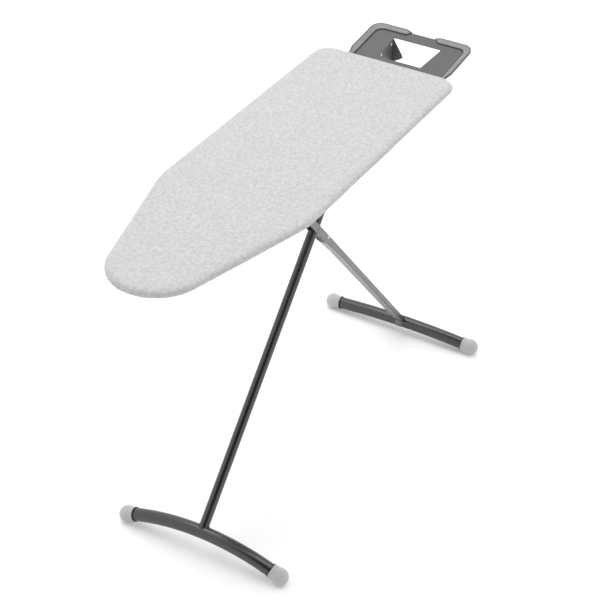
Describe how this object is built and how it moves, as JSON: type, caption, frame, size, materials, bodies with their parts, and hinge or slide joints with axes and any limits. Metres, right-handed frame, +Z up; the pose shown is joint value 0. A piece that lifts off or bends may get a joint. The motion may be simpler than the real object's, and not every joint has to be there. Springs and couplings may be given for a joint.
{
  "type": "ironing board",
  "caption": "Folding ironing board with a padded tapered table on scissor legs with arched feet, and a steel iron rest at its square end.",
  "frame": {"origin": "on the floor under the middle of the standing board's length and width", "axes": "+X along the table from its nose to the iron rest, +Y to the left side, +Z up"},
  "size_m": [1.3102, 0.4636, 0.9],
  "materials": {
    "cover_cloth": "light grey speckled cotton",
    "elastic": "woven elastic",
    "foam": "open-cell foam",
    "white_steel": "light grey powder coat",
    "dark_steel": "satin dark grey powder coat",
    "collar_steel": "satin black paint",
    "silver_steel": "silver grey paint",
    "zinc_steel": "zinc plated",
    "cap_plastic": "moulded light grey",
    "nylon": "natural nylon",
    "dark_plastic": "moulded dark grey",
    "rest_steel": "mid grey paint",
    "guard_silicone": "heat-proof silicone"
  },
  "bodies": {
    "board": {"cover": "cover_cloth", "hem_elastic": "elastic", "foam_pad": "foam", "table_panel": "white_steel", "edge_rim": "white_steel", "front_cross_brace": "white_steel", "rear_cross_brace": "white_steel", "slide_rail_left": "dark_steel", "slide_rail_right": "dark_steel", "rail_rivets": "zinc_steel", "top_pivot_bushes": "nylon", "iron_rest_tray": "rest_steel", "rest_guard_left": "guard_silicone", "rest_guard_right": "guard_silicone", "rest_bracket_left": "rest_steel", "rest_bracket_right": "rest_steel", "rest_angle_left": "rest_steel", "rest_angle_right": "rest_steel", "rest_stay": "rest_steel", "rest_rivets": "zinc_steel", "lever_pin": "zinc_steel", "lever_spring": "zinc_steel"},
    "front_leg": {"front_leg_tube": "dark_steel", "pivot_sleeve": "zinc_steel", "front_leg_top_bar": "dark_steel", "top_bar_caps": "dark_plastic", "front_foot_tube": "dark_steel", "front_foot_cap_left": "cap_plastic", "front_foot_cap_right": "cap_plastic", "front_foot_collars": "collar_steel"},
    "rear_leg": {"rear_leg_channel": "silver_steel", "rear_foot_tube": "dark_steel", "rear_foot_cap_left": "cap_plastic", "rear_foot_cap_right": "cap_plastic", "rear_foot_collars": "collar_steel", "catch_rod": "zinc_steel", "catch_rod_caps": "dark_plastic", "pivot_bolt": "silver_steel", "pivot_nut": "zinc_steel", "pivot_washers": "nylon", "channel_rivets": "zinc_steel"},
    "release_lever": {"release_lever_bar": "dark_steel", "release_lever_handle": "dark_steel", "release_lever_grip": "dark_plastic"}
  },
  "joints": [
    {"name": "fold", "type": "hinge", "parent": "board", "child": "front_leg", "pos_m": [0.31085, 0, 0.85], "axis": [0, 1, 0], "range_deg": [0, 46.2]},
    {"name": "scissor", "type": "hinge", "parent": "front_leg", "child": "rear_leg", "pos_m": [0.1041, 0, 0.6211], "axis": [0, 1, 0], "range_deg": [-92.4, 0]},
    {"name": "release", "type": "hinge", "parent": "board", "child": "release_lever", "pos_m": [-0.02565, -0.0675, 0.862], "axis": [0, 1, 0], "range_deg": [0, 3.5], "stiffness_Nm_per_rad": 2, "springref_deg": -11.46}
  ],
  "couplings": [
    {"joint": "scissor", "follows": "fold", "ratio": -2}
  ]
}
